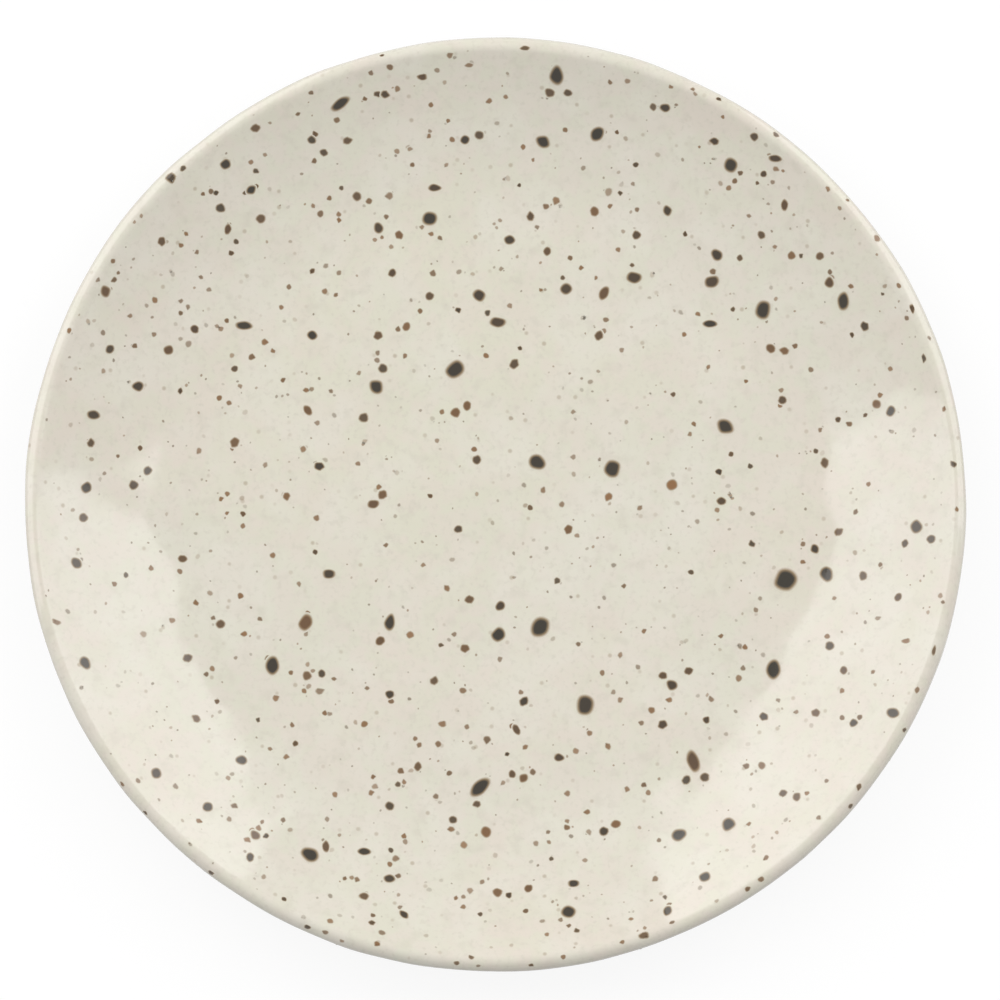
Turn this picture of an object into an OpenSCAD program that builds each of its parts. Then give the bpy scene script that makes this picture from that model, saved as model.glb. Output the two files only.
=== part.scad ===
// Coupe dinner plate: a speckled stoneware body under a glossy glaze, with no brim between well and rim.
// Millimetres, +Z up, standing on its foot ring with the origin under its centre.

/* [Plate] */
// Diameter over the rim
plate_d = 270; // [230:1:310]
// Height from the table to the top of the rim
plate_h = 26; // [20:0.5:34]
// Thickness of the fully rounded lip
rim_t = 5.5; // [4.4:0.1:6.6]

/* [Well] */
// Diameter of the shallow floor, where the wall starts to rise
well_d = 160; // [130:1:190]
// Radius of the floor's slight dish
dish_r = 1500; // [900:10:3000]
// Thickness of the base
base_t = 5.5; // [4.4:0.1:7]
// Height of the base above the table, at the centre
base_gap = 2; // [1.6:0.1:4]

/* [Foot ring] */
// Diameter over the foot ring
foot_d = 150; // [120:1:170]
// Width of the foot ring
foot_w = 5; // [4:0.1:8]
// Radius of the fillet at the root of the foot ring
foot_root_r = 1.2; // [0.6:0.1:1.6]
// Radius of the rounded edges of the foot ring
foot_edge_r = 1; // [0.5:0.1:1.2]

/* [Glaze] */
// Thickness of the glaze
glaze_t = 0.4; // [0.3:0.05:0.7]
// Height of the band wiped bare above the foot ring's rounded edge
bare_h = 0.2; // [0.1:0.05:0.4]

/* [Specks] */
// Nominal diameter of the large iron specks
large_speck_d = 4.4; // [3.6:0.1:5]
// Nominal diameter of the medium iron specks
medium_speck_d = 3; // [2.4:0.1:3.4]
// Nominal diameter of the small iron specks
small_speck_d = 2.2; // [1.6:0.1:2.5]

/* [Hidden] */

clay_colour = "#B7A58A";
glaze_colour = "#DCD7C8";
speck_colour = "#3A342A";

// Steps of a full turn of the plate and of a speck, and of each arc of the section
turn_steps = 180;
speck_steps = 24;
dish_steps = 4;
wall_steps = 10;
lip_steps = 12;
fillet_steps = 5;

// Places of the specks as seen from above: east and north of the centre, as shares of the plate's
// radius, and the speck's size as a share of its kind's nominal diameter
large_speck_shares = [
    [0.13, 0.92, 0.95], [0.215, 0.8, 0.75], [0.1, 0.785, 0.8], [-0.14, 0.625, 0.8],
    [0.5, 0.73, 0.8], [0.57, 0.425, 0.95], [0.74, 0.44, 0.85], [-0.085, 0.305, 1],
    [-0.255, 0.265, 0.85], [0.49, 0.18, 0.95], [0.09, 0.105, 0.9], [0.25, 0.09, 0.9],
    [0.615, -0.15, 1.2], [0.095, -0.25, 1.1], [0.005, -0.265, 0.75], [-0.475, -0.335, 0.85],
    [0.59, -0.345, 0.9], [0.19, -0.415, 1.05], [0.42, -0.54, 0.95], [-0.395, -0.745, 0.95],
    [-0.035, -0.595, 0.95], [0.705, -0.14, 0.8], [0.39, -0.7, 0.8], [0.495, -0.68, 0.8],
    [0.155, -0.87, 0.8], [-0.405, -0.24, 0.8], [-0.225, -0.24, 0.75], [-0.33, 0.86, 0.85],
];
medium_speck_shares = [
    [0.295, 0.5, 1.05], [0.46, 0.49, 1.05], [0.47, 0.545, 0.95], [0.15, 0.475, 0.95],
    [0.23, 0.465, 0.9], [0.005, 0.405, 1], [-0.035, 0.46, 1], [0.03, 0.58, 0.85],
    [0.365, 0.64, 0.85], [0.71, 0.48, 0.85], [0.595, 0.74, 0.85], [0.455, 0.4, 0.8],
    [0.36, 0.85, 0.8], [-0.13, 0.69, 0.8], [-0.25, 0.605, 0.85], [-0.535, 0.395, 1],
    [-0.39, 0.375, 0.8], [-0.52, 0.68, 0.85], [-0.575, 0.73, 0.85], [-0.83, 0.455, 1],
    [-0.76, 0.26, 0.9], [-0.695, 0.34, 0.8], [-0.855, 0.195, 0.95], [-0.87, 0.04, 0.9],
    [-0.89, -0.125, 0.9], [-0.87, -0.34, 1.05], [-0.72, -0.575, 0.95], [-0.61, -0.645, 0.85],
    [-0.54, -0.54, 0.9], [-0.355, -0.135, 0.9], [0.01, -0.205, 0.8], [-0.26, 0.015, 0.8],
    [0.375, 0.055, 0.9], [0.68, -0.085, 0.8], [0.84, 0.205, 0.85], [0.895, -0.045, 1.05],
    [0.845, -0.45, 1], [0.375, -0.375, 0.9], [0.445, -0.795, 0.95], [0.365, -0.87, 0.85],
    [0.165, -0.805, 0.8], [-0.02, -0.69, 0.85], [-0.28, -0.735, 0.8], [-0.225, -0.795, 0.85],
    [0.06, -0.575, 0.8], [-0.51, -0.705, 0.85], [-0.065, 0.79, 0.75], [0.81, 0.22, 0.75],
    [0.135, -0.53, 0.75], [-0.195, -0.875, 0.8],
];
small_speck_shares = [
    [0.115, 0.885, 1], [0.155, 0.885, 0.9], [-0.235, 0.88, 1], [-0.315, 0.785, 1],
    [-0.035, 0.8, 1], [0.465, 0.78, 1], [0.55, 0.785, 0.9], [0.615, 0.645, 1],
    [0.21, 0.64, 1], [0.075, 0.63, 1], [0.3, 0.59, 0.9], [0.11, 0.555, 0.9],
    [0.565, 0.585, 0.9], [-0.295, 0.67, 1], [-0.585, 0.64, 1], [-0.5, 0.62, 1],
    [-0.51, 0.805, 1], [-0.39, 0.785, 0.95], [-0.365, 0.76, 0.85], [-0.57, 0.595, 0.95],
    [-0.71, 0.565, 0.9], [-0.64, 0.385, 0.9], [-0.82, 0.335, 1], [-0.86, 0.135, 1],
    [-0.875, -0.025, 1], [-0.77, 0.05, 1], [-0.74, 0.08, 1], [-0.665, -0.105, 0.9],
    [-0.585, -0.245, 1], [-0.655, -0.32, 1], [-0.635, -0.45, 1], [-0.555, 0.145, 1],
    [-0.4, 0.215, 1], [-0.375, 0.095, 0.95], [-0.445, 0.03, 0.9], [-0.24, 0.305, 1],
    [0.04, 0.315, 1], [-0.28, 0.2, 1], [-0.085, 0.21, 1], [-0.06, 0.225, 0.95],
    [-0.04, 0.11, 0.95], [-0.24, 0.035, 1], [0.24, 0.03, 0.95], [-0.08, -0.04, 0.9],
    [0.155, -0.04, 0.9], [-0.055, -0.19, 0.95], [-0.245, -0.28, 1], [-0.065, -0.295, 0.9],
    [-0.13, -0.365, 1], [0.355, -0.355, 0.9], [0.41, -0.345, 0.9], [0.06, -0.41, 1],
    [0.045, -0.47, 0.95], [0.355, -0.46, 0.95], [0.405, -0.58, 1], [0.445, -0.575, 1],
    [0.23, -0.69, 1], [0.255, -0.675, 1], [0.005, -0.825, 1], [0.07, -0.815, 0.9],
    [-0.28, -0.835, 1], [-0.36, -0.725, 1], [-0.52, -0.755, 1], [-0.225, -0.635, 1],
    [-0.09, -0.665, 0.9], [-0.04, -0.63, 0.9], [-0.165, -0.55, 0.9], [0.035, -0.565, 0.85],
    [-0.225, -0.395, 0.9], [0.7, 0.1, 1], [0.73, -0.05, 1], [0.925, -0.075, 1],
    [0.87, -0.08, 0.85], [0.78, -0.145, 1], [0.855, -0.195, 0.9], [0.71, -0.295, 1],
    [0.74, -0.35, 0.9], [0.76, -0.465, 0.9], [0.64, -0.625, 1], [0.61, -0.615, 0.9],
    [0.68, -0.44, 0.9], [0.57, -0.445, 0.9], [0.615, 0.34, 1], [0.585, 0.345, 1],
    [0.61, 0.235, 0.9], [0.69, 0.535, 0.9], [0.63, 0.54, 0.85], [0.785, 0.385, 0.95],
    [0.48, 0.02, 0.95], [0.22, 0.375, 1], [-0.14, 0.46, 0.9], [-0.25, 0.375, 0.9],
    [-0.22, 0.51, 0.9], [-0.205, 0.59, 0.85], [-0.19, 0.395, 0.9], [-0.4, -0.355, 0.95],
    [-0.37, -0.35, 0.85],
];

plate_r = plate_d / 2;
lip_r = rim_t / 2;
foot_outer_r = foot_d / 2;
foot_inner_r = foot_outer_r - foot_w;
wiped_z = foot_edge_r + bare_h;

function angle_of(v) = atan2(v[1], v[0]);
function reversed(list) = [for (k = [len(list) - 1:-1:0]) list[k]];

// Points along an arc, without the one that it starts from
function arc(centre, r, from, to, steps) =
    [for (k = [1:steps]) let (a = from + (to - from) * k / steps) centre + r * [cos(a), sin(a)]];

// The section lies in [radius, height]. The floor and the base's underside share one centre.
floor_z = base_gap + base_t;
under_r = dish_r + base_t;
dish_c = [0, floor_z + dish_r];
well_angle = asin(well_d / 2 / dish_r);
to_dish_c = [-sin(well_angle), cos(well_angle)];
floor_edge = dish_c - dish_r * to_dish_c;
base_edge = dish_c - under_r * to_dish_c;
lip_c = [plate_r - lip_r, plate_h - lip_r];

// Radius of the arc that leaves the floor (side 1) or the base (side -1) smoothly
// and runs onto the lip's round
function wall_arc_r(start, side) =
    let (d = lip_c - start) (d * d - lip_r * lip_r) / (2 * (d * to_dish_c + side * lip_r));

face_r = wall_arc_r(floor_edge, 1);
face_c = floor_edge + face_r * to_dish_c;
back_r = wall_arc_r(base_edge, -1);
back_c = base_edge + back_r * to_dish_c;

// Directions on those arcs: straight down, the edge of the well, the lip
down = -90;
well_edge = down + well_angle;
face_end = angle_of(lip_c - face_c);
back_end = angle_of(lip_c - back_c);

// Centre of a fillet at the foot's root, under the base or, past its edge, under the wall
base_limit = (base_edge - foot_root_r * to_dish_c)[0];
function root_z(r, centre, arc_r) =
    centre[1] - sqrt(pow(arc_r + foot_root_r, 2) - pow(r - centre[0], 2));
function root_centre(r) =
    [r, r <= base_limit ? root_z(r, dish_c, under_r) : root_z(r, back_c, back_r)];
outer_root = root_centre(foot_outer_r + foot_root_r);
inner_root = root_centre(foot_inner_r - foot_root_r);
outer_on_base = outer_root[0] <= base_limit;
inner_on_base = inner_root[0] <= base_limit;
outer_c = outer_on_base ? dish_c : back_c;
inner_c = inner_on_base ? dish_c : back_c;

// Where the wall's underside ends at the foot, and where the base's underside starts inside it
back_start = outer_on_base ? well_edge : angle_of(outer_root - back_c);
base_start = inner_on_base ? angle_of(inner_root - dish_c) : well_edge;

// The surface that lies inset under the glaze's own: over the floor, the wall and the lip,
// then back under the wall and the base and down the foot ring to the wiped line
function outer_line(inset) =
    concat(
        [[0, floor_z - inset]],
        arc(dish_c, dish_r + inset, down, well_edge, dish_steps),
        arc(face_c, face_r + inset, well_edge, face_end, wall_steps),
        arc(lip_c, lip_r - inset, face_end + 180, back_end, lip_steps),
        arc(back_c, back_r - inset, back_end, back_start, wall_steps),
        outer_on_base
            ? arc(dish_c, under_r - inset, well_edge, angle_of(outer_root - dish_c), dish_steps)
            : [],
        arc(outer_root, foot_root_r + inset, angle_of(outer_c - outer_root), 180, fillet_steps),
        [[foot_outer_r - inset, wiped_z]]
    );

// The same from the wiped line inside the foot ring to the middle of the base
function inner_line(inset) =
    concat(
        [[foot_inner_r + inset, wiped_z], [foot_inner_r + inset, inner_root[1]]],
        arc(inner_root, foot_root_r + inset, 0, angle_of(inner_c - inner_root), fillet_steps),
        inner_on_base
            ? []
            : arc(back_c, back_r - inset, angle_of(inner_root - back_c), well_edge, wall_steps),
        arc(dish_c, under_r - inset, base_start, down, dish_steps)
    );

// The bare foot ring, between the two wiped lines
bare_line = concat(
    [[foot_outer_r - glaze_t, foot_edge_r]],
    arc([foot_outer_r - glaze_t - foot_edge_r, foot_edge_r], foot_edge_r, 0, down, fillet_steps),
    [[foot_inner_r + glaze_t + foot_edge_r, 0]],
    arc([foot_inner_r + glaze_t + foot_edge_r, foot_edge_r], foot_edge_r, down, down - 90, fillet_steps)
);

// Height of the eating face at a radius
function face_z(r) =
    r < floor_edge[0]
        ? dish_c[1] - sqrt(pow(dish_r, 2) - pow(r, 2))
        : face_c[1] - sqrt(pow(face_r, 2) - pow(r - face_c[0], 2));

// A section turned round the plate's axis
module turned(points) {
    rotate_extrude($fn = turn_steps)
        polygon(points);
}

// The coat over the face, the rim and the outside
module outer_coat() {
    turned(concat(outer_line(0), reversed(outer_line(glaze_t))));
}

// One upright plug for each speck, through the coat on the eating face
module speck_plugs(shares, nominal_d) {
    for (share = shares) {
        place = plate_r * [share[0], share[1]];
        translate([place[0], place[1], face_z(norm(place))])
            cylinder(d = nominal_d * share[2], h = rim_t, center = true, $fn = speck_steps);
    }
}

// Specks lie in the glaze, flush with its surface and down to the clay
module specks(shares, nominal_d) {
    intersection() {
        outer_coat();
        speck_plugs(shares, nominal_d);
    }
}

// Thrown stoneware body with its turned foot ring
module clay_body() {
    color(clay_colour)
        turned(concat(outer_line(glaze_t), bare_line, inner_line(glaze_t)));
}

// One coat from the face over the rim to the wiped line on the foot ring
module glaze_coat() {
    color(glaze_colour)
        difference() {
            outer_coat();
            speck_plugs(large_speck_shares, large_speck_d);
            speck_plugs(medium_speck_shares, medium_speck_d);
            speck_plugs(small_speck_shares, small_speck_d);
        }
}

// The coat inside the foot ring
module base_glaze() {
    color(glaze_colour)
        turned(concat(inner_line(0), reversed(inner_line(glaze_t))));
}

module large_specks() {
    color(speck_colour)
        specks(large_speck_shares, large_speck_d);
}

module medium_specks() {
    color(speck_colour)
        specks(medium_speck_shares, medium_speck_d);
}

module small_specks() {
    color(speck_colour)
        specks(small_speck_shares, small_speck_d);
}

clay_body();
glaze_coat();
base_glaze();
large_specks();
medium_specks();
small_specks();
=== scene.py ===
import cmath
import math
import random

import bmesh
import bpy
from mathutils import Matrix, Vector


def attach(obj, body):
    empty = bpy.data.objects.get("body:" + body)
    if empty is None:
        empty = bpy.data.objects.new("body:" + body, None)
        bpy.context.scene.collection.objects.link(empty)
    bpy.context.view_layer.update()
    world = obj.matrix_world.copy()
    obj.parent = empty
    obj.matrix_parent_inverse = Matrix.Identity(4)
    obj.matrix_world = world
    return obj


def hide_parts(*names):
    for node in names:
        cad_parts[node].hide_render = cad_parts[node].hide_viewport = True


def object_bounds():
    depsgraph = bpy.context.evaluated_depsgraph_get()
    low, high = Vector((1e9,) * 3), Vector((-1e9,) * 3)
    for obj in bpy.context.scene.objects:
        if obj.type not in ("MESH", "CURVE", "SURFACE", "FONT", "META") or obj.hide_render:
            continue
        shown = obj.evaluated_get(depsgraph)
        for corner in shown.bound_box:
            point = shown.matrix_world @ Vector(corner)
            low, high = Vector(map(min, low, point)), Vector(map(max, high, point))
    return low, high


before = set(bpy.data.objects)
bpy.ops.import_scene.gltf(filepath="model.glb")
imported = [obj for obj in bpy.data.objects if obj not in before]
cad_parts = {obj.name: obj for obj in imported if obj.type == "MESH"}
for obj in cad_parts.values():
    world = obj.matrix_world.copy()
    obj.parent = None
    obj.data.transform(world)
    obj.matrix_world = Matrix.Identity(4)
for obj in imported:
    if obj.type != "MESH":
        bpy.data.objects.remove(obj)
CAD_LOW, CAD_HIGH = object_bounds()

# The plate's section, in metres, with the driving sizes of the solids
PLATE_R = CAD_HIGH.x
PLATE_H = CAD_HIGH.z
RIM_T = 0.0055
WELL_R = 0.080
DISH_R = 1.5
BASE_T = 0.0055
BASE_GAP = 0.002
FOOT_OUTER_R = 0.075
FOOT_INNER_R = 0.070
FOOT_ROOT_R = 0.0012
GLAZE_T = 0.0004
WIPED_Z = 0.0012

# Points merge below this distance
WELD = 1e-6

# How finely the coats are turned: steps along the lines of the face, the base and the hidden undersides,
# and steps round the axis
FACE_STEP = 0.0014
BASE_STEP = 0.002
HIDDEN_STEP = 0.008
FACE_TURN_STEPS = 384
BASE_TURN_STEPS = 192

# The glaze's hand-made waves: their length and their height from crest to trough
RIPPLE_LENGTH = 0.026
RIPPLE_HEIGHT = 0.0008

# Specks: one layer of height above the glaze, as the larger lie over the smaller, their depth in the glaze,
# and how far their brown edge widens those of the solids and the flecks
SPECK_LAYER = 0.00001
SPECK_DEPTH = 0.00015
BLEED = 1.58
FLECK_BLEED = 1.45

# A speck without a note is stretched by a factor between these two. Its shading smooths bends up to this
# angle, and its middle stays this share of its width inside the plate's edge.
PLAIN_STRETCHES = (1.0, 1.1)
SPECK_BEND = math.radians(50)
EDGE_SHARE = 0.2

# Flat blanks of the specks: the seeds that make one each, the sides, how far the corners wander, the insets
# of the rings, and how often the corners are rounded
LARGE_BLANKS = {"seeds": range(1, 9), "sides": 12, "wobble": 0.16, "insets": (0.14, 0.13), "rounds": 1}
SMALL_BLANKS = {"seeds": range(31, 39), "sides": 14, "wobble": 0.18, "insets": (0.14, 0.13), "rounds": 0}
FLECK_BLANKS = {"seeds": range(21, 29), "sides": 12, "wobble": 0.22, "insets": (0.27,), "rounds": 0}
FINE_BLANKS = {"seeds": range(11, 17), "sides": 8, "wobble": 0.22, "insets": (0.27,), "rounds": 0}

# Looks of each kind of speck, drawn between two values: its colour, from black to all rust, and its stain's
# strength. One seed serves all draws.
DRAW_SEED = 7
LARGE_LOOKS = {"rusty": (0, 0.05), "strong": (1, 1)}
MEDIUM_LOOKS = {"rusty": (0, 0.15), "strong": (0.96, 1)}
SMALL_LOOKS = {"rusty": (0.05, 0.4), "strong": (0.88, 1)}
DARK_LOOKS = {"rusty": (0.05, 0.4), "strong": (0.8, 1)}
BROWN_LOOKS = {"rusty": (0.4, 0.9), "strong": (0.5, 0.88)}
RUST_LOOKS = {"rusty": (0.8, 1), "strong": (0.65, 0.9)}

# Scattered specks: the colours that one can have, and for the face, the outside and the base their number,
# the range of their widths and the range of their strength
SCATTER_RUSTS = (0.1, 0.4, 0.7, 1.0)
FAINT_SCATTER = {"count": 1000, "widths": (0.0008, 0.0024), "strong": (0.12, 0.5)}
OUTSIDE_SCATTER = {"count": 900, "widths": (0.0006, 0.004), "strong": (0.4, 1)}
BASE_SCATTER = {"count": 320, "widths": (0.0006, 0.004), "strong": (0.4, 1)}

# The photograph's frame, in pixels: its width, the middle of the rim, and the rim's width
IMAGE_W = 1000
RIM_X = 495.5
RIM_Y = 503.9
RIM_W = 941.6
PIXEL = 2 * PLATE_R / RIM_W

# The camera looks down steeply, from the front and far off. Its sensor's width is in millimetres.
CAMERA_ELEVATION = math.radians(82.6)
CAMERA_DISTANCE = 10.0
SENSOR_W = 36

# Rounds in which a line of sight finds the plate
SIGHT_ROUNDS = 8

# Specks that the photograph shows drawn out: pixel, stretch along their length, and its heading in degrees
LONG_SPECKS = (
    (556, 78, 1.19, 90), (480, 789, 1.28, 45), (693, 763, 1.28, 110), (306, 623, 1.18, 70),
    (391, 624, 1.24, 80), (341, 105, 1.34, 40), (243, 326, 1.32, 0), (497, 322, 1.30, 0),
    (635, 278, 1.18, 0), (711, 283, 1.15, 25), (709, 326, 1.34, 0), (434, 189, 1.30, 0),
    (329, 576, 1.30, 0), (573, 884, 1.34, 0), (364, 852, 1.24, 0), (895, 716, 1.15, 160),
    (480, 299, 1.20, 145), (95, 416, 1.15, 0), (775, 162, 1.28, 0), (323, 848, 1.34, 90),
    (403, 913, 1.20, 140), (784, 206, 1.28, 80), (307, 411, 1.24, 120), (604, 296, 1.20, 65),
    (227, 231, 1.28, 90), (516, 731, 1.24, 120), (373, 505, 1.20, 15), (272, 668, 1.12, 90),
    (843, 302, 1.15, 90), (773, 671, 1.12, 90), (423, 77, 1.35, 0), (469, 65, 1.35, 0),
    (525, 48, 1.30, 0), (912, 308, 1.50, 100), (924, 358, 1.30, 90), (934, 650, 1.60, 80),
    (953, 464, 1.25, 0), (907, 641, 1.50, 0), (56, 622, 1.40, 0), (878, 618, 1.30, 0),
    (320, 691, 1.25, 0), (443, 724, 1.25, 0),
)

# Specks of the solids that are brown or rusty, with how far
RUSTY_SPECKS = (
    (672, 485, 1.0), (609, 497, 1.0), (487, 832, 0.7), (374, 505, 0.4), (383, 496, 0.5), (595, 214, 0.6),
    (347, 142, 0.3), (285, 498, 0.7), (307, 411, 0.5), (455, 414, 0.6), (467, 407, 0.6), (615, 827, 0.7),
    (497, 894, 0.6), (407, 327, 0.7), (878, 405, 0.6), (792, 257, 0.7), (604, 296, 0.4), (105, 294, 0.4),
    (306, 623, 0.5), (380, 642, 0.4), (464, 649, 0.5), (528, 890, 0.5), (167, 352, 0.4), (234, 444, 0.5),
    (783, 350, 0.6), (770, 349, 0.5), (308, 676, 0.5), (568, 531, 0.6), (255, 837, 0.4), (693, 763, 0.3),
    (398, 236, 0.6), (829, 283, 0.3), (523, 781, 0.5), (434, 683, 0.3), (820, 258, 0.4),
)

# Smaller specks, read off the photograph: pixel and width in pixels
DARK_FLECKS = (
    (171, 178, 12), (183, 168, 7), (256, 171, 6), (256, 186, 5), (245, 193, 5), (216, 193, 5), (231, 253, 5),
    (236, 242, 5), (382, 55, 5), (423, 77, 8), (377, 94, 7), (315, 134, 6), (341, 188, 5), (312, 271, 6),
    (525, 48, 7), (653, 107, 7), (617, 132, 4), (636, 165, 5), (519, 185, 4), (620, 193, 5), (685, 234, 5),
    (563, 278, 5), (632, 265, 5), (740, 258, 6), (740, 173, 5), (719, 99, 5), (776, 135, 6), (764, 174, 6),
    (757, 183, 4), (801, 256, 5), (114, 280, 6), (181, 313, 5), (180, 391, 6), (140, 448, 5), (243, 514, 5),
    (235, 369, 6), (488, 313, 6), (458, 310, 6), (430, 496, 5), (733, 309, 5), (520, 348, 5), (731, 454, 5),
    (719, 472, 6), (530, 508, 5), (673, 394, 5), (883, 294, 4), (912, 308, 7), (924, 358, 7), (852, 335, 5),
    (953, 464, 8), (838, 420, 6), (865, 415, 5), (816, 451, 5), (750, 466, 5), (126, 575, 5), (217, 701, 5),
    (258, 720, 5), (441, 645, 5), (295, 744, 6), (507, 754, 5), (315, 552, 5), (557, 581, 6), (691, 572, 5),
    (707, 720, 7), (752, 544, 7), (934, 650, 7), (904, 730, 6), (145, 813, 5), (211, 873, 6), (266, 836, 6),
    (398, 784, 6), (372, 923, 7), (284, 899, 5), (509, 895, 6), (307, 927, 6), (391, 850, 5), (480, 914, 5),
    (577, 931, 6), (644, 936, 10), (665, 897, 5), (531, 965, 5), (551, 859, 5), (859, 787, 7), (850, 806, 6),
)
BROWN_FLECKS = (
    (141, 216, 5), (265, 155, 5), (251, 162, 5), (203, 194, 4), (211, 191, 5), (181, 245, 5), (197, 252, 5),
    (229, 224, 4), (113, 261, 5), (118, 273, 4), (201, 277, 5), (450, 55, 6), (469, 65, 6), (390, 67, 6),
    (371, 73, 5), (437, 70, 5), (311, 93, 5), (397, 89, 6), (365, 99, 5), (489, 101, 6), (506, 97, 5),
    (298, 114, 5), (337, 120, 6), (314, 161, 5), (397, 151, 5), (430, 131, 4), (429, 136, 5), (410, 149, 5),
    (412, 165, 5), (446, 165, 5), (369, 201, 6), (389, 196, 7), (320, 214, 6), (386, 217, 5), (422, 227, 5),
    (440, 238, 5), (391, 247, 5), (326, 266, 6), (339, 273, 5), (433, 273, 6), (375, 240, 4), (329, 198, 5),
    (501, 269, 5), (610, 82, 5), (628, 81, 6), (693, 89, 5), (695, 94, 5), (676, 105, 4), (565, 130, 5),
    (633, 184, 4), (608, 192, 7), (546, 206, 6), (537, 227, 5), (610, 206, 5), (637, 210, 5), (749, 216, 5),
    (570, 258, 5), (713, 272, 6), (735, 181, 5), (618, 250, 5), (533, 160, 4), (776, 169, 6), (773, 182, 5),
    (840, 208, 5), (775, 247, 5), (830, 272, 5), (769, 155, 4), (848, 200, 5), (877, 238, 8), (98, 280, 5),
    (110, 289, 4), (209, 290, 5), (181, 301, 5), (188, 307, 5), (227, 321, 5), (217, 326, 5), (221, 329, 5),
    (135, 346, 5), (188, 344, 6), (103, 371, 5), (240, 386, 5), (199, 451, 6), (118, 456, 4), (265, 465, 6),
    (229, 403, 5), (252, 357, 6), (103, 333, 5), (154, 334, 5), (232, 449, 4), (130, 316, 5), (325, 291, 6),
    (336, 295, 5), (420, 311, 5), (398, 329, 5), (377, 360, 5), (378, 353, 5), (359, 373, 5), (283, 380, 5),
    (312, 389, 5), (331, 391, 5), (442, 412, 5), (317, 423, 5), (474, 449, 5), (358, 464, 5), (273, 351, 5),
    (405, 356, 5), (437, 441, 5), (316, 463, 5), (289, 287, 5), (510, 306, 5), (606, 320, 5), (622, 350, 5),
    (573, 412, 5), (543, 490, 6), (562, 504, 6), (640, 508, 6), (717, 510, 5), (573, 457, 5), (604, 331, 5),
    (746, 381, 4), (690, 434, 5), (694, 424, 5), (832, 277, 5), (851, 286, 6), (907, 318, 5), (795, 346, 5),
    (811, 370, 5), (781, 390, 5), (820, 430, 5), (849, 424, 6), (869, 484, 5), (899, 286, 5), (957, 509, 5),
    (929, 338, 5), (856, 512, 6), (243, 526, 5), (151, 568, 5), (180, 571, 5), (172, 620, 6), (213, 618, 5),
    (260, 619, 5), (143, 634, 7), (56, 622, 8), (270, 749, 5), (268, 658, 6), (114, 584, 5), (212, 669, 5),
    (206, 674, 5), (423, 565, 5), (299, 584, 5), (291, 673, 5), (367, 688, 5), (304, 691, 5), (320, 691, 7),
    (463, 691, 6), (325, 713, 5), (330, 714, 5), (292, 725, 5), (415, 739, 5), (419, 745, 6), (438, 744, 6),
    (487, 740, 7), (391, 701, 5), (454, 634, 5), (386, 545, 5), (306, 634, 5), (308, 613, 5), (334, 679, 5),
    (467, 727, 5), (500, 659, 5), (313, 671, 4), (577, 536, 5), (624, 586, 5), (644, 631, 5), (578, 644, 5),
    (620, 655, 6), (638, 667, 5), (743, 668, 5), (739, 678, 6), (521, 692, 5), (620, 700, 6), (711, 699, 6),
    (590, 733, 6), (608, 746, 7), (512, 726, 5), (641, 723, 5), (602, 673, 5), (613, 692, 5), (721, 636, 5),
    (803, 562, 5), (880, 565, 5), (834, 598, 5), (941, 596, 6), (943, 602, 5), (756, 610, 5), (878, 618, 5),
    (827, 636, 5), (907, 641, 7), (917, 690, 6), (778, 700, 5), (796, 712, 5), (860, 717, 6), (873, 672, 5),
    (803, 544, 5), (842, 691, 5), (842, 718, 5), (122, 784, 5), (176, 786, 6), (234, 806, 7), (199, 821, 6),
    (229, 819, 6), (262, 822, 5), (138, 781, 5), (228, 778, 5), (401, 771, 6), (449, 773, 5), (375, 787, 6),
    (371, 793, 6), (503, 783, 5), (436, 796, 6), (283, 820, 6), (327, 819, 5), (404, 836, 5), (405, 842, 5),
    (396, 859, 7), (357, 879, 6), (398, 876, 6), (352, 877, 5), (345, 878, 5), (482, 882, 5), (470, 891, 6),
    (325, 932, 6), (382, 933, 6), (342, 941, 5), (471, 957, 6), (457, 963, 6), (373, 915, 5), (373, 777, 5),
    (400, 907, 5), (478, 966, 5), (463, 897, 5), (456, 898, 5), (533, 772, 6), (644, 785, 5), (648, 793, 5),
    (567, 827, 6), (567, 821, 5), (589, 832, 6), (536, 844, 6), (549, 842, 5), (585, 860, 5), (655, 879, 6),
    (526, 911, 5), (561, 920, 5), (569, 926, 5), (669, 904, 5), (672, 922, 5), (659, 840, 5), (548, 832, 5),
    (645, 928, 4), (746, 766, 6), (762, 765, 7), (807, 793, 5), (819, 818, 5), (749, 824, 5), (766, 858, 6),
    (761, 879, 6), (827, 781, 5), (748, 889, 6),
)
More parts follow.
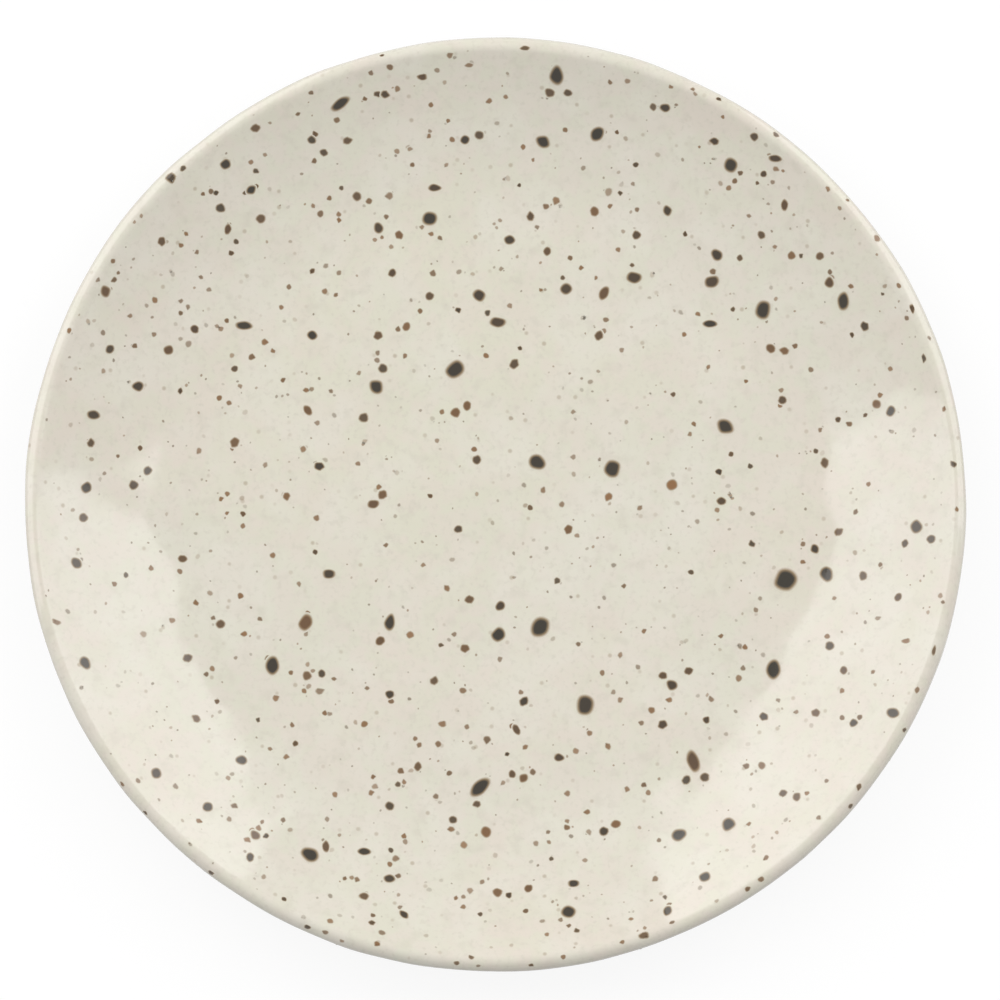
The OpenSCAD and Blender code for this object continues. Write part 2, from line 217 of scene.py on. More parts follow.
RUST_FLECKS = (
    (186, 234, 5), (431, 105, 5), (448, 121, 4), (452, 140, 5), (339, 214, 5), (339, 220, 5), (431, 234, 5),
    (382, 237, 4), (313, 206, 5), (523, 147, 5), (556, 201, 7), (729, 188, 5), (723, 117, 4), (581, 268, 5),
    (596, 278, 4), (671, 87, 5), (699, 147, 3), (783, 171, 4), (828, 189, 6), (155, 300, 6), (69, 331, 6),
    (265, 342, 6), (219, 398, 5), (227, 494, 5), (221, 499, 5), (227, 513, 4), (281, 307, 5), (306, 390, 6),
    (303, 449, 6), (379, 487, 5), (486, 356, 5), (317, 518, 6), (541, 290, 4), (698, 314, 5), (684, 334, 5),
    (708, 367, 5), (890, 369, 5), (880, 395, 5), (780, 406, 4), (944, 409, 6), (240, 596, 6), (196, 603, 6),
    (244, 634, 6), (273, 555, 6), (447, 588, 7), (410, 635, 7), (276, 698, 6), (364, 724, 6), (443, 724, 7),
    (286, 757, 6), (669, 700, 6), (652, 710, 7), (525, 747, 6), (576, 751, 6), (745, 647, 5), (252, 830, 5),
    (259, 828, 6), (247, 840, 7), (404, 782, 5), (335, 795, 6), (451, 829, 7), (464, 845, 7), (463, 907, 5),
    (330, 921, 6), (377, 944, 6), (390, 864, 5), (567, 793, 6), (627, 789, 6), (587, 812, 6), (547, 935, 5),
    (563, 957, 5), (622, 942, 5), (631, 919, 5),
)

# A note belongs to the speck within this distance of its pixel
NOTE_REACH = 0.0018


# Section of the plate: complex numbers, radius + height j

LIP_R = RIM_T / 2
LIP_STEP = LIP_R / 4
LIP_C = complex(PLATE_R - LIP_R, PLATE_H - LIP_R)
FLOOR_Z = BASE_GAP + BASE_T
UNDER_R = DISH_R + BASE_T
DISH_C = complex(0, FLOOR_Z + DISH_R)
DOWN = -math.pi / 2
WELL_EDGE = DOWN + math.asin(WELL_R / DISH_R)
TO_DISH_C = -cmath.rect(1, WELL_EDGE)


def wall_arc_r(start, side):
    """Radius of the arc that leaves the floor (side 1) or base (side -1) smoothly and meets the lip."""
    d = LIP_C - start
    along = (d * TO_DISH_C.conjugate()).real
    return (abs(d) ** 2 - LIP_R**2) / (2 * (along + side * LIP_R))


FLOOR_EDGE = DISH_C - DISH_R * TO_DISH_C
BASE_EDGE = DISH_C - UNDER_R * TO_DISH_C
FACE_R = wall_arc_r(FLOOR_EDGE, 1)
FACE_C = FLOOR_EDGE + FACE_R * TO_DISH_C
BACK_R = wall_arc_r(BASE_EDGE, -1)
BACK_C = BASE_EDGE + BACK_R * TO_DISH_C
FACE_END = cmath.phase(LIP_C - FACE_C)
BACK_END = cmath.phase(LIP_C - BACK_C)
FACE_TOP = FACE_C + cmath.rect(FACE_R, FACE_END)


def root_centre(r):
    """Centre of the fillet at the foot ring's root, under the base."""
    return complex(r, DISH_C.imag - math.sqrt((UNDER_R + FOOT_ROOT_R) ** 2 - r**2))


OUTER_ROOT = root_centre(FOOT_OUTER_R + FOOT_ROOT_R)
INNER_ROOT = root_centre(FOOT_INNER_R - FOOT_ROOT_R)


def arc(centre, radius, start, end, step):
    """Points along an arc, about a step apart, without the one that it starts from."""
    count = max(2, round(abs(radius * (end - start)) / step))
    return [centre + cmath.rect(radius, start + (end - start) * k / count) for k in range(1, count + 1)]


def coat_line(inset, step):
    """The coat's surface, or what lies inset under it, from the middle of the face to the wiped line."""
    return [
        complex(0, FLOOR_Z - inset),
        *arc(DISH_C, DISH_R + inset, DOWN, WELL_EDGE, step),
        *arc(FACE_C, FACE_R + inset, WELL_EDGE, FACE_END, step),
        *arc(LIP_C, LIP_R - inset, FACE_END + math.pi, BACK_END, LIP_STEP),
        *arc(BACK_C, BACK_R - inset, BACK_END, WELL_EDGE, step),
        *arc(DISH_C, UNDER_R - inset, WELL_EDGE, cmath.phase(OUTER_ROOT - DISH_C), step),
        *arc(OUTER_ROOT, FOOT_ROOT_R + inset, cmath.phase(DISH_C - OUTER_ROOT), math.pi, LIP_STEP),
        complex(FOOT_OUTER_R - inset, WIPED_Z),
    ]


def base_line(inset, step):
    """The same from the middle of the base to the wiped line inside the foot ring."""
    return [
        complex(0, BASE_GAP + inset),
        *arc(DISH_C, UNDER_R - inset, DOWN, cmath.phase(INNER_ROOT - DISH_C), step),
        *arc(INNER_ROOT, FOOT_ROOT_R + inset, cmath.phase(DISH_C - INNER_ROOT), 0, LIP_STEP),
        complex(FOOT_INNER_R + inset, WIPED_Z),
    ]


def face_seat(r):
    """Point of the plate's upper side at a radius, and the outward normal there."""
    if r < FLOOR_EDGE.real:
        centre, radius = DISH_C, DISH_R
    elif r < FACE_TOP.real:
        centre, radius = FACE_C, FACE_R
    else:
        rise = math.sqrt(max(0, LIP_R**2 - (r - LIP_C.real) ** 2))
        point = complex(r, LIP_C.imag + rise)
        return point, (point - LIP_C) / LIP_R
    point = complex(r, centre.imag - math.sqrt(radius**2 - (r - centre.real) ** 2))
    return point, (centre - point) / radius


# The camera's place and its view of the plate

BACK = Vector((0, -math.cos(CAMERA_ELEVATION), math.sin(CAMERA_ELEVATION)))
RIGHT = Vector((1, 0, 0))
UP = BACK.cross(RIGHT)


def in_view(px, py):
    """Step from the middle of the image to a pixel, in the plane of the rim."""
    return RIGHT * (px - IMAGE_W / 2) * PIXEL + UP * (IMAGE_W / 2 - py) * PIXEL


AIM = Vector((0, 0, LIP_C.imag)) - in_view(RIM_X, RIM_Y)


def under_pixel(px, py):
    """Where the camera sees the plate's upper side at a pixel: east and north of the axis."""
    eye = AIM + BACK * CAMERA_DISTANCE
    ray = in_view(px, py) - BACK * CAMERA_DISTANCE
    height = FLOOR_Z
    for _ in range(SIGHT_ROUNDS):
        spot = eye + ray * (height - eye.z) / ray.z
        r = min(math.hypot(spot.x, spot.y), PLATE_R)
        height = face_seat(r)[0].imag
    return spot.x, spot.y


# Small helpers for working as by hand


def select_only(*objects):
    """Deselects everything, then selects these, the first as the active one."""
    bpy.ops.object.select_all(action="DESELECT")
    for obj in objects:
        obj.select_set(True)
    bpy.context.view_layer.objects.active = objects[0]


def apply_modifier(obj, modifier):
    select_only(obj)
    bpy.ops.object.modifier_apply(modifier=modifier.name)


def finish_piece(piece, material, slot, *nodes):
    """Dresses a piece, lets it ride with the plate and hides the solids that it stands for."""
    piece.data.materials.clear()
    piece.data.materials.append(material)
    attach(piece, "root")
    if nodes:
        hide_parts(*nodes)


# Materials


def socket(tree, target, value):
    """Links a node's output to an input, or writes a plain value there."""
    if isinstance(value, bpy.types.NodeSocket):
        tree.links.new(value, target)
    else:
        target.default_value = value


def add(tree, kind, **inputs):
    """Adds a node and fills its inputs by name."""
    node = tree.nodes.new(kind)
    for name, value in inputs.items():
        socket(tree, node.inputs[name], value)
    return node


def mixed(tree, factor, first, second):
    """Colour between two colours, at the sockets that a mix node has for colours."""
    node = tree.nodes.new("ShaderNodeMix")
    node.data_type = "RGBA"
    socket(tree, node.inputs[0], factor)
    socket(tree, node.inputs[6], first)
    socket(tree, node.inputs[7], second)
    return node.outputs[2]


def ranged(tree, value, low, high, to_low=0.0, to_high=1.0):
    """A value stretched from one range to another, smoothly and clamped."""
    node = add(tree, "ShaderNodeMapRange", Value=value)
    node.interpolation_type = "SMOOTHSTEP"
    node.inputs["From Min"].default_value = low
    node.inputs["From Max"].default_value = high
    node.inputs["To Min"].default_value = to_low
    node.inputs["To Max"].default_value = to_high
    return node.outputs[0]


def calculated(tree, operation, first, second):
    """Result of an operation on two values."""
    node = tree.nodes.new("ShaderNodeMath")
    node.operation = operation
    socket(tree, node.inputs[0], first)
    socket(tree, node.inputs[1], second)
    return node.outputs[0]


def noise(tree, where, scale, detail=2.0, distortion=0.0):
    node = add(tree, "ShaderNodeTexNoise", Vector=where, Scale=scale, Detail=detail, Distortion=distortion)
    return node.outputs[0]


def object_coordinates(tree):
    return tree.nodes.new("ShaderNodeTexCoord").outputs["Object"]


def distance_from(tree, point):
    """Distance of the surface from a fixed point."""
    node = tree.nodes.new("ShaderNodeVectorMath")
    node.operation = "DISTANCE"
    socket(tree, node.inputs[0], object_coordinates(tree))
    socket(tree, node.inputs[1], point)
    return node.outputs["Value"]


def attribute(tree, name):
    """A value that the mesh carries."""
    node = tree.nodes.new("ShaderNodeAttribute")
    node.attribute_name = name
    return node.outputs["Fac"]


def new_group(name, *outputs):
    """An empty shader node group with outputs of the given names and socket types."""
    tree = bpy.data.node_groups.new(name, "ShaderNodeTree")
    for output, kind in outputs:
        tree.interface.new_socket(output, in_out="OUTPUT", socket_type=kind)
    return tree, tree.nodes.new("NodeGroupOutput")


def drifting_cream(tree, where):
    """Cream that drifts from cool to warm, with a yellower pool in the well."""
    cool_cream = (0.745, 0.715, 0.618, 1)
    warm_cream = (0.770, 0.705, 0.612, 1)
    pool_cream = (0.755, 0.732, 0.592, 1)
    pool_middle = (-0.025, 0.040, 0.008)
    pool_full_r = 0.02
    pool_end_r = 0.085
    drift = ranged(tree, noise(tree, where, scale=18, detail=5, distortion=0.8), 0.38, 0.62)
    tone = mixed(tree, drift, cool_cream, warm_cream)
    pool = ranged(tree, distance_from(tree, pool_middle), pool_full_r, pool_end_r, to_low=0.7, to_high=0)
    return mixed(tree, pool, tone, pool_cream)


def tinted(tree, where, tone):
    """The tone with patches of a greener and a pinker cream."""
    green_cream = (0.738, 0.724, 0.578, 1)
    pink_cream = (0.771, 0.698, 0.600, 1)
    tint_share = 0.55
    patches = ranged(tree, noise(tree, where, scale=150, detail=4), 0.40, 0.60)
    return mixed(tree, tint_share, tone, mixed(tree, patches, green_cream, pink_cream))


def mottled(tree, where, tone):
    """The tone with milky clouds, a darker mottling and a fine grain."""
    milk = (0.80, 0.765, 0.668, 1)
    shade = (0.655, 0.615, 0.515, 1)
    cloud = ranged(tree, noise(tree, where, scale=60, detail=5, distortion=0.4), 0.40, 0.72, to_high=0.6)
    mottle = ranged(tree, noise(tree, where, scale=230, detail=3), 0.50, 0.78, to_high=0.45)
    grain = ranged(tree, noise(tree, where, scale=700, detail=2), 0.50, 0.80, to_high=0.5)
    tone = mixed(tree, cloud, tone, milk)
    tone = mixed(tree, mottle, tone, shade)
    return mixed(tree, grain, tone, shade)


def dotted(tree, where, tone):
    """The tone with a tiny brown dot in each cell, some of them too weak to see."""
    dot_brown = (0.42, 0.33, 0.22, 1)
    cells = add(tree, "ShaderNodeTexVoronoi", Vector=where, Scale=210)
    dot = ranged(tree, cells.outputs["Distance"], 0.19, 0.06)
    chosen = add(tree, "ShaderNodeSeparateColor", Color=cells.outputs["Color"])
    strength = ranged(tree, chosen.outputs[0], 0.3, 1.0, to_high=0.6)
    return mixed(tree, calculated(tree, "MULTIPLY", dot, strength), tone, dot_brown)


def glaze_tone_group():
    """Colour and gloss of the cream glaze."""
    tree, out = new_group("glaze_tone", ("Color", "NodeSocketColor"), ("Gloss", "NodeSocketFloat"))
    where = object_coordinates(tree)
    tone = tinted(tree, where, drifting_cream(tree, where))
    tone = dotted(tree, where, mottled(tree, where, tone))
    tree.links.new(tone, out.inputs["Color"])
    gloss = ranged(tree, noise(tree, where, scale=90, detail=3), 0.3, 0.7, to_low=0.09, to_high=0.13)
    tree.links.new(gloss, out.inputs["Gloss"])
    return tree


GLAZE_TONE = glaze_tone_group()
GLAZE_IOR = 1.75


def glazed(name):
    """A new glossy material, its tree, its shader and its glaze tone."""
    material = bpy.data.materials.new(name)
    material.use_nodes = True
    tree = material.node_tree
    shader = tree.nodes["Principled BSDF"]
    shader.inputs["IOR"].default_value = GLAZE_IOR
    tone = tree.nodes.new("ShaderNodeGroup")
    tone.node_tree = GLAZE_TONE
    tree.links.new(tone.outputs["Gloss"], shader.inputs["Roughness"])
    return material, tree, shader, tone.outputs["Color"]


def cream_glaze():
    material, tree, shader, tone = glazed("cream_glaze")
    tree.links.new(tone, shader.inputs["Base Color"])
    return material


def iron_speck():
    """Iron melted into the glaze: a near-black or rusty core that bleeds through brown into the cream."""
    iron_black = (0.022, 0.016, 0.005, 1)
    rust = (0.27, 0.125, 0.040, 1)
    bleed = (0.29, 0.180, 0.068, 1)
    material, tree, shader, tone = glazed("iron_speck")
    stain = attribute(tree, "stain")
    strong = attribute(tree, "strong")
    core = mixed(tree, attribute(tree, "rusty"), iron_black, rust)
    edge = calculated(tree, "MULTIPLY", ranged(tree, stain, 0.05, 0.55, to_high=0.9), strong)
    heart = calculated(tree, "MULTIPLY", ranged(tree, stain, 0.32, 0.85), strong)
    tone = mixed(tree, heart, mixed(tree, edge, tone, bleed), core)
    tree.links.new(tone, shader.inputs["Base Color"])
    return material


def bare_stoneware():
    """Unglazed foot ring: buff fired clay with iron dots and a fine grit."""
    buff = (0.50, 0.375, 0.25, 1)
    toasted = (0.40, 0.265, 0.155, 1)
    iron = (0.09, 0.05, 0.03, 1)
    material = bpy.data.materials.new("bare_stoneware")
    material.use_nodes = True
    tree = material.node_tree
    shader = tree.nodes["Principled BSDF"]
    where = object_coordinates(tree)
    tone = mixed(tree, ranged(tree, noise(tree, where, scale=70, detail=4), 0.35, 0.7), buff, toasted)
    cells = add(tree, "ShaderNodeTexVoronoi", Vector=where, Scale=420)
    dots = ranged(tree, cells.outputs["Distance"], 0.16, 0.08, to_high=0.8)
    tree.links.new(mixed(tree, dots, tone, iron), shader.inputs["Base Color"])
    grit = noise(tree, where, scale=2600, detail=3)
    rough = ranged(tree, grit, 0.3, 0.7, to_low=0.7, to_high=0.9)
    tree.links.new(rough, shader.inputs["Roughness"])
    bump = add(tree, "ShaderNodeBump", Strength=0.35, Distance=0.0001, Height=grit)
    tree.links.new(bump.outputs["Normal"], shader.inputs["Normal"])
    return material


# Glaze coats


def turned_coat(name, surface, underside, steps):
    """The section between a coat's surface and its underside, spun round the axis into a closed shell."""
    points = surface + underside[::-1]
    edges = [(k, k + 1) for k in range(len(points) - 1)]
    mesh = bpy.data.meshes.new(name)
    mesh.from_pydata([(p.real, 0, p.imag) for p in points], edges, [])
    coat = bpy.data.objects.new(name, mesh)
    bpy.context.scene.collection.objects.link(coat)
    coat.vertex_groups.new(name="surface").add(list(range(len(surface))), 1.0, "REPLACE")
    select_only(coat)
    bpy.ops.object.mode_set(mode="EDIT")
    bpy.ops.mesh.select_all(action="SELECT")
    bpy.ops.mesh.spin(steps=steps, angle=2 * math.pi, center=(0, 0, 0), axis=(0, 0, 1))
    bpy.ops.mesh.select_all(action="SELECT")
    bpy.ops.mesh.remove_doubles(threshold=WELD)
    bpy.ops.mesh.normals_make_consistent(inside=False)
    bpy.ops.object.mode_set(mode="OBJECT")
    bpy.ops.object.shade_smooth()
    return coat


def ripple(coat):
    """Gives the coat's surface the waves of a glaze that was poured and wiped by hand."""
    wave = bpy.data.textures.new("glaze_wave", "CLOUDS")
    wave.noise_scale = RIPPLE_LENGTH
    wave.noise_depth = 1
    modifier = coat.modifiers.new("ripple", "DISPLACE")
    modifier.texture = wave
    modifier.texture_coords = "LOCAL"
    modifier.strength = RIPPLE_HEIGHT
    modifier.mid_level = 0.5
    modifier.vertex_group = "surface"
    apply_modifier(coat, modifier)


def make_coats():
    coat_lines = coat_line(0, FACE_STEP), coat_line(GLAZE_T, HIDDEN_STEP)
    base_lines = base_line(0, BASE_STEP), base_line(GLAZE_T, HIDDEN_STEP)
    coat = turned_coat("glaze_skin", *coat_lines, FACE_TURN_STEPS)
    base = turned_coat("base_glaze_skin", *base_lines, BASE_TURN_STEPS)
    ripple(coat)
    ripple(base)
    return coat, base


# Iron specks


def speck_blank(seed, sides, wobble, insets, rounds):
    """A flat irregular speck, 1 m across, with a ring for each inset. Its stain grows from ring to ring.

    Each round doubles its sides and rounds its corners.
    """
    smoothing = 0.4
    bpy.ops.object.select_all(action="DESELECT")
    bpy.ops.mesh.primitive_circle_add(vertices=sides, radius=0.5, fill_type="NGON")
    blank = bpy.context.active_object
    bpy.ops.object.mode_set(mode="EDIT")
    bpy.ops.mesh.select_all(action="SELECT")
    bpy.ops.transform.vertex_random(offset=wobble, seed=seed, wait_for_input=False)
    bpy.ops.transform.resize(value=(1, 1, 0), center_override=(0, 0, 0))
    bpy.ops.mesh.vertices_smooth(factor=smoothing)
    for inset in insets:
        bpy.ops.mesh.inset(thickness=inset)
    bpy.ops.mesh.poke()
    bpy.ops.object.mode_set(mode="OBJECT")
    stain_inwards(blank.data, len(insets))
    if rounds:
        rounding = blank.modifiers.new("rounding", "SUBSURF")
        rounding.levels = rounds
        apply_modifier(blank, rounding)
    return blank


def speck_blanks(seeds, **shape):
    return [speck_blank(seed, **shape) for seed in seeds]


def stain_inwards(mesh, rings):
    """Writes a speck's stain: 0 on its outline, growing to 1 on the innermost ring and the middle."""
    shape = bmesh.new()
    shape.from_mesh(mesh)
    depth = {vert.index: 0 for vert in shape.verts if vert.is_boundary}
    for step in range(1, rings + 2):
        stained = [vert for vert in shape.verts if vert.index in depth]
        reached = {edge.other_vert(vert).index for vert in stained for edge in vert.link_edges}
        depth.update((index, step) for index in reached - set(depth))
    shape.free()
    stain = mesh.attributes.new("stain", "FLOAT", "POINT")
    stain.data.foreach_set("value", [min(depth[k], rings) / rings for k in range(len(mesh.vertices))])


def paint(mesh, name, value):
    """Writes one value all over a speck."""
    layer = mesh.attributes.new(name, "FLOAT", "POINT")
    layer.data.foreach_set("value", [value] * len(mesh.vertices))


def speck_copy(blank, speck):
    """A copy of a blank over the plate: turned, stretched, scaled and laid flat, just clear of the waves."""
    copy = blank.copy()
    copy.data = blank.data.copy()
    bpy.context.scene.collection.objects.link(copy)
    normal, bearing = speck["normal"], speck["bearing"]
    point = speck["point"] + normal * RIPPLE_HEIGHT
    outward = Vector((normal.real * math.cos(bearing), normal.real * math.sin(bearing), normal.imag))
    around = Vector((-math.sin(bearing), math.cos(bearing), 0))
    along = outward.cross(around)
    lay = Matrix((around, along, outward)).transposed().to_4x4()
    lay.translation = (point.real * math.cos(bearing), point.real * math.sin(bearing), point.imag)
    stretch = speck["stretch"]
    width = speck["width"]
    shape = Matrix.Diagonal((width * stretch, width / stretch, width, 1))
    turn = speck["heading"] - bearing - math.pi / 2
    copy.data.transform(lay @ Matrix.Rotation(turn, 4, "Z") @ shape)
    paint(copy.data, "rusty", speck["rusty"])
    paint(copy.data, "strong", speck["strong"])
    return copy


def lay_specks(name, specks, blanks, coat, layer, cuts=0):
    """Joins the copies, seats them in a layer above the waves of the glaze and gives them their depth.

    Where the surface bends sharply, cuts first makes their faces finer.
    """
    copies = [speck_copy(blanks[k % len(blanks)], speck) for k, speck in enumerate(specks)]
    select_only(*copies)
    bpy.ops.object.join()
    piece = bpy.context.active_object
    piece.name = name
    piece.data.name = name
    if cuts:
        finer = piece.modifiers.new("finer", "SUBSURF")
        finer.subdivision_type = "SIMPLE"
        finer.levels = cuts
        apply_modifier(piece, finer)
    wrap = piece.modifiers.new("seat", "SHRINKWRAP")
    wrap.target = coat
    wrap.wrap_method = "NEAREST_SURFACEPOINT"
    wrap.wrap_mode = "ABOVE_SURFACE"
    wrap.offset = SPECK_LAYER * layer
    apply_modifier(piece, wrap)
    depth = piece.modifiers.new("depth", "SOLIDIFY")
    depth.thickness = SPECK_DEPTH
    depth.offset = -1
    apply_modifier(piece, depth)
    bpy.ops.object.shade_smooth_by_angle(angle=SPECK_BEND)
    return piece


def placed_speck(point, normal, bearing, width, draw, rusty, strong, stretch=None, heading=None):
    """One speck's place and looks. What isn't given is drawn."""
    return {
        "point": point,
        "normal": normal,
        "bearing": bearing,
        "width": width,
        "stretch": stretch or draw.uniform(*PLAIN_STRETCHES),
        "heading": draw.uniform(0, 2 * math.pi) if heading is None else math.radians(heading),
        "rusty": rusty,
        "strong": strong,
    }


def solid_places(node):
    """Middle and width of each speck of a node, from its separate solids."""
    mesh = bmesh.new()
    mesh.from_mesh(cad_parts[node].data)
    bmesh.ops.remove_doubles(mesh, verts=mesh.verts, dist=WELD)
    left = set(mesh.verts)
    places = []
    while left:
        island = [left.pop()]
        for vert in island:
            near = {edge.other_vert(vert) for edge in vert.link_edges} & left
            left -= near
            island.extend(near)
        east = [vert.co.x for vert in island]
        north = [vert.co.y for vert in island]
        middle = ((max(east) + min(east)) / 2, (max(north) + min(north)) / 2)
        places.append((*middle, max(east) - min(east)))
    mesh.free()
    return sorted(places)


def face_speck(x, y, width, draw, rusty, strong, stretch=None, heading=None):
    """A speck on the upper side, over a point of the table."""
    r = min(math.hypot(x, y), PLATE_R - EDGE_SHARE * width)
    point, normal = face_seat(r)
    bearing = math.atan2(y, x)
    return placed_speck(point, normal, bearing, width, draw, rusty, strong, stretch, heading)


def noted(notes, x, y):
    """The note on the speck at this place, if there is one."""
    for px, py, *note in notes:
        east, north = under_pixel(px, py)
        if math.hypot(east - x, north - y) < NOTE_REACH:
            return note
    return None


def modelled_specks(node, looks, draw, blanks, coat, layer):
    """The specks of a node, in their places, with the outlines and tones of the photograph."""
    specks = []
    for x, y, width in solid_places(node):
        (rusty,) = noted(RUSTY_SPECKS, x, y) or [draw.uniform(*looks["rusty"])]
        stretch, heading = noted(LONG_SPECKS, x, y) or (None, None)
        strong = draw.uniform(*looks["strong"])
        specks.append(face_speck(x, y, BLEED * width, draw, rusty, strong, stretch, heading))
    return lay_specks(node.replace("specks", "iron_specks"), specks, blanks, coat, layer)


def read_flecks(flecks, looks, draw):
    """Specks at pixels of the photograph, with looks drawn from two ranges."""
    specks = []
    for px, py, pixels in flecks:
        x, y = under_pixel(px, py)
        width = FLECK_BLEED * pixels * PIXEL
        stretch, heading = noted(LONG_SPECKS, x, y) or (None, None)
        rusty = draw.uniform(*looks["rusty"])
        strong = draw.uniform(*looks["strong"])
        specks.append(face_speck(x, y, width, draw, rusty, strong, stretch, heading))
    return specks


def scattered(line, draw, count, widths, strong):
    """Specks that lie evenly over a line's turned surface, most of them near the smallest width.

    The surface faces to the left of the line.
    """
    smallest, largest = widths
    areas = [abs(b - a) * (a + b).real for a, b in zip(line, line[1:])]
    specks = []
    for k in draw.choices(range(len(areas)), weights=areas, k=count):
        share = draw.random()
        point = line[k] * (1 - share) + line[k + 1] * share
        normal = (line[k + 1] - line[k]) * 1j
        width = smallest * (largest / smallest) ** (draw.random() ** 2)
        rusty = draw.choice(SCATTER_RUSTS)
        bearing = draw.uniform(-math.pi, math.pi)
        looks = rusty, draw.uniform(*strong)
        specks.append(placed_speck(point, normal / abs(normal), bearing, width, draw, *looks))
    return specks


def touches_lip(speck):
    return speck["point"].real + speck["width"] / 2 > FACE_TOP.real


def on_lip(specks):
    return [speck for speck in specks if touches_lip(speck)]


def off_lip(specks):
    return [speck for speck in specks if not touches_lip(speck)]


def make_specks(coat, base):
    """The specks of the solids, then those that only the surface has. The larger lie in higher layers."""
    large_blanks = speck_blanks(**LARGE_BLANKS)
    small_blanks = speck_blanks(**SMALL_BLANKS)
    fleck_blanks = speck_blanks(**FLECK_BLANKS)
    fine_blanks = speck_blanks(**FINE_BLANKS)
    draw = random.Random(DRAW_SEED)
    modelled = [
        modelled_specks("large_specks", LARGE_LOOKS, draw, large_blanks, coat, layer=5),
        modelled_specks("medium_specks", MEDIUM_LOOKS, draw, large_blanks, coat, layer=4),
        modelled_specks("small_specks", SMALL_LOOKS, draw, small_blanks, coat, layer=3),
    ]
    flecks = read_flecks(DARK_FLECKS, DARK_LOOKS, draw)
    flecks += read_flecks(BROWN_FLECKS, BROWN_LOOKS, draw)
    flecks += read_flecks(RUST_FLECKS, RUST_LOOKS, draw)
    line = coat_line(0, FACE_STEP)
    top = line.index(max(line, key=lambda point: point.imag))
    rim = line.index(max(line, key=lambda point: point.real))
    faint = scattered(line[: top + 1], draw, **FAINT_SCATTER)
    outside = scattered(line[rim:], draw, **OUTSIDE_SCATTER)
    underside = scattered(base_line(0, BASE_STEP)[::-1], draw, **BASE_SCATTER)
    lip = on_lip(flecks) + on_lip(faint) + on_lip(outside)
    unmodelled = [
        lay_specks("lip_specks", lip, fleck_blanks, coat, layer=3, cuts=1),
        lay_specks("flecks", off_lip(flecks), fleck_blanks, coat, layer=2),
        lay_specks("faint_specks", off_lip(faint), fine_blanks, coat, layer=1),
        lay_specks("outside_specks", off_lip(outside), fleck_blanks, coat, layer=1),
        lay_specks("base_specks", underside, fleck_blanks, base, layer=1),
    ]
    for blank in large_blanks + small_blanks + fleck_blanks + fine_blanks:
        bpy.data.objects.remove(blank)
    return modelled, unmodelled


# Studio


def seen_light(tree):
    """1 for what the camera sees, straight, in a reflection or through glass, and 0 for other light."""
    path = tree.nodes.new("ShaderNodeLightPath")
    seen = path.outputs["Is Camera Ray"]
    for ray in ("Is Glossy Ray", "Is Transmission Ray"):
        seen = calculated(tree, "MAXIMUM", seen, path.outputs[ray])
    return seen


def mixed_shaders(tree, factor, first, second):
    """Shader between two shaders."""
    node = tree.nodes.new("ShaderNodeMixShader")
    tree.links.new(factor, node.inputs[0])
    tree.links.new(first.outputs[0], node.inputs[1])
    tree.links.new(second.outputs[0], node.inputs[2])
    return node


def studio_white():
    """White to the camera and to reflections, with the plate's soft shadow. A dimmer grey to other light.

    From below it is clear.
    """
    near_glow = 0.87
    near_white = (0.15, 0.15, 0.15, 1)
    dim = (0.3, 0.3, 0.3, 1)
    middle = (0, 0, 0)
    near_r = 0.2
    far_r = 0.7
    material = bpy.data.materials.new("studio_white")
    material.use_nodes = True
    tree = material.node_tree
    tree.nodes.clear()
    glow = add(tree, "ShaderNodeEmission", Strength=near_glow)
    shadowed = add(tree, "ShaderNodeBsdfDiffuse", Color=near_white)
    near = tree.nodes.new("ShaderNodeAddShader")
    tree.links.new(glow.outputs[0], near.inputs[0])
    tree.links.new(shadowed.outputs[0], near.inputs[1])
    far = add(tree, "ShaderNodeEmission", Strength=1.0)
    visible = mixed_shaders(tree, ranged(tree, distance_from(tree, middle), near_r, far_r), near, far)
    plain = add(tree, "ShaderNodeBsdfDiffuse", Color=dim)
    above = mixed_shaders(tree, seen_light(tree), plain, visible)
    below = tree.nodes.new("ShaderNodeBsdfTransparent")
    backfacing = tree.nodes.new("ShaderNodeNewGeometry").outputs["Backfacing"]
    sided = mixed_shaders(tree, backfacing, above, below)
    out = tree.nodes.new("ShaderNodeOutputMaterial")
    tree.links.new(sided.outputs[0], out.inputs["Surface"])
    return material


def make_floor():
    """A round floor whose edge curves up into a low backdrop, by steps that spread and rise."""
    floor_r = 2.2
    floor_sides = 96
    cove = ((1.15, 0.04), (1.10, 0.16), (1.05, 0.3), (1.02, 0.5))
    bpy.ops.object.select_all(action="DESELECT")
    bpy.ops.mesh.primitive_circle_add(vertices=floor_sides, radius=floor_r, fill_type="NGON")
    floor = bpy.context.active_object
    floor.name = "studio_floor"
    bpy.ops.object.mode_set(mode="EDIT")
    bpy.ops.mesh.select_mode(type="EDGE")
    bpy.ops.mesh.select_all(action="SELECT")
    bpy.ops.mesh.region_to_loop()
    for spread, rise in cove:
        bpy.ops.mesh.extrude_edges_move(TRANSFORM_OT_translate={"value": (0, 0, rise)})
        bpy.ops.transform.resize(value=(spread, spread, 1))
    bpy.ops.mesh.select_all(action="SELECT")
    bpy.ops.mesh.normals_make_consistent(inside=True)
    bpy.ops.object.mode_set(mode="OBJECT")
    bpy.ops.object.shade_smooth()
    floor.data.materials.append(studio_white())


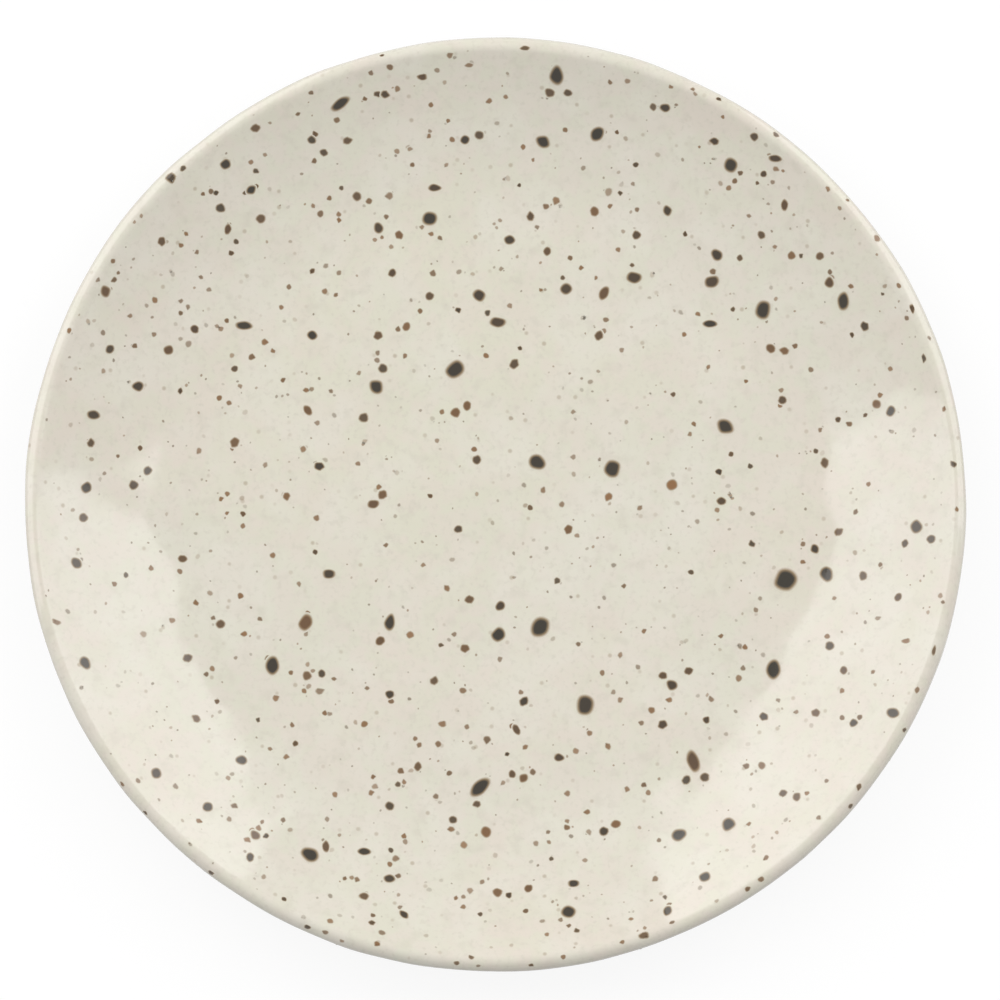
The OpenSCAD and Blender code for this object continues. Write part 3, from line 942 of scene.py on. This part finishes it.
def softbox(name, bearing, width, height, lean, radiance):
    """A tall panel of light that stands beside the plate, faces it and leans back."""
    distance = 0.8
    towards = Vector((math.cos(bearing), math.sin(bearing), 0))
    upright = Vector((0, 0, 1))
    rise = towards * math.sin(lean) + upright * math.cos(lean)
    facing = upright * math.sin(lean) - towards * math.cos(lean)
    bpy.ops.object.light_add(type="AREA", location=towards * distance + rise * height / 2)
    lamp = bpy.context.active_object
    lamp.name = name
    lamp.rotation_euler = facing.to_track_quat("-Z", "Y").to_euler()
    lamp.data.shape = "RECTANGLE"
    lamp.data.size = width
    lamp.data.size_y = height
    lamp.data.energy = radiance * math.pi * width * height
    lamp.visible_camera = False


def make_lights():
    """Two tall softboxes behind the plate that mirror in its walls, and the soft light of the room."""
    right, left = math.radians(32.4), math.radians(147)
    lean = math.radians(9)
    air = (0.65, 0.65, 0.65, 1)
    softbox("softbox_right", right, width=0.97, height=2.9, lean=lean, radiance=1.36)
    softbox("softbox_left", left, width=1.47, height=3.4, lean=lean, radiance=1.25)
    world = bpy.data.worlds.new("studio_air")
    world.use_nodes = True
    world.node_tree.nodes["Background"].inputs["Color"].default_value = air
    bpy.context.scene.world = world


def make_camera():
    """Places the rim's outline where the photograph has it."""
    bpy.ops.object.camera_add(location=AIM + BACK * CAMERA_DISTANCE)
    camera = bpy.context.active_object
    camera.rotation_euler = (-BACK).to_track_quat("-Z", "Y").to_euler()
    camera.data.sensor_width = SENSOR_W
    camera.data.lens = SENSOR_W * CAMERA_DISTANCE / (IMAGE_W * PIXEL)
    bpy.context.scene.camera = camera


glaze_material = cream_glaze()
speck_material = iron_speck()

glaze_skin, base_skin = make_coats()
(large, medium, small), unmodelled = make_specks(glaze_skin, base_skin)
finish_piece(glaze_skin, glaze_material, "glaze", "glaze_coat")
finish_piece(base_skin, glaze_material, "glaze", "base_glaze")
finish_piece(large, speck_material, "iron_speck", "large_specks")
finish_piece(medium, speck_material, "iron_speck", "medium_specks")
finish_piece(small, speck_material, "iron_speck", "small_specks")
for piece in unmodelled:
    finish_piece(piece, speck_material, "iron_speck")

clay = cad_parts["clay_body"]
clay.data.materials.clear()
clay.data.materials.append(bare_stoneware())

make_floor()
make_lights()
make_camera()
bpy.context.scene.view_settings.view_transform = "Standard"
